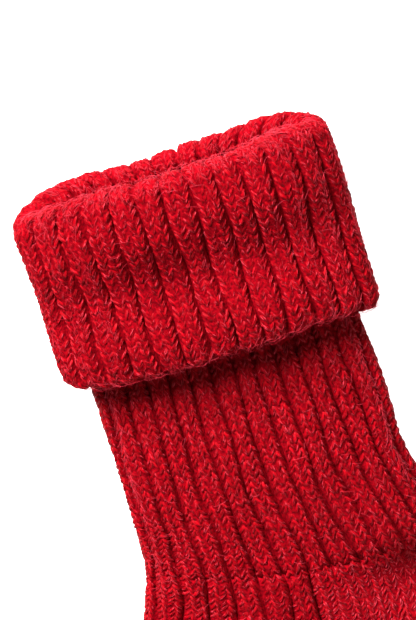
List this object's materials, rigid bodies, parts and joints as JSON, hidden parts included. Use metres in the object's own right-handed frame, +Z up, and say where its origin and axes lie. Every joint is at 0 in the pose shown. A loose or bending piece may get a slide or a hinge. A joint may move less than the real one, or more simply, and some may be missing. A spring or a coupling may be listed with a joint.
{
  "type": "wool sock",
  "caption": "Chunky ribbed wool sock lying flat on its side, with a turned-down cuff, an open mouth, a plain heel and a rounded toe.",
  "frame": {"origin": "on the surface that the sock lies on, under the middle of its bounding box", "axes": "+Z up from the surface, through the flat sock's thickness; +Y along the leg towards the cuff's rim; +X towards the heel's back, so that the toe points to -X"},
  "size_m": [0.2218, 0.306, 0.024],
  "materials": {
    "rib_knit": "matt bright red heathered wool in 2 by 2 rib",
    "plain_knit": "matt bright red heathered wool in plain knit"
  },
  "bodies": {
    "root": {"cuff": "rib_knit", "leg": "rib_knit", "heel": "plain_knit", "foot": "rib_knit", "toe": "plain_knit"}
  },
  "joints": []
}
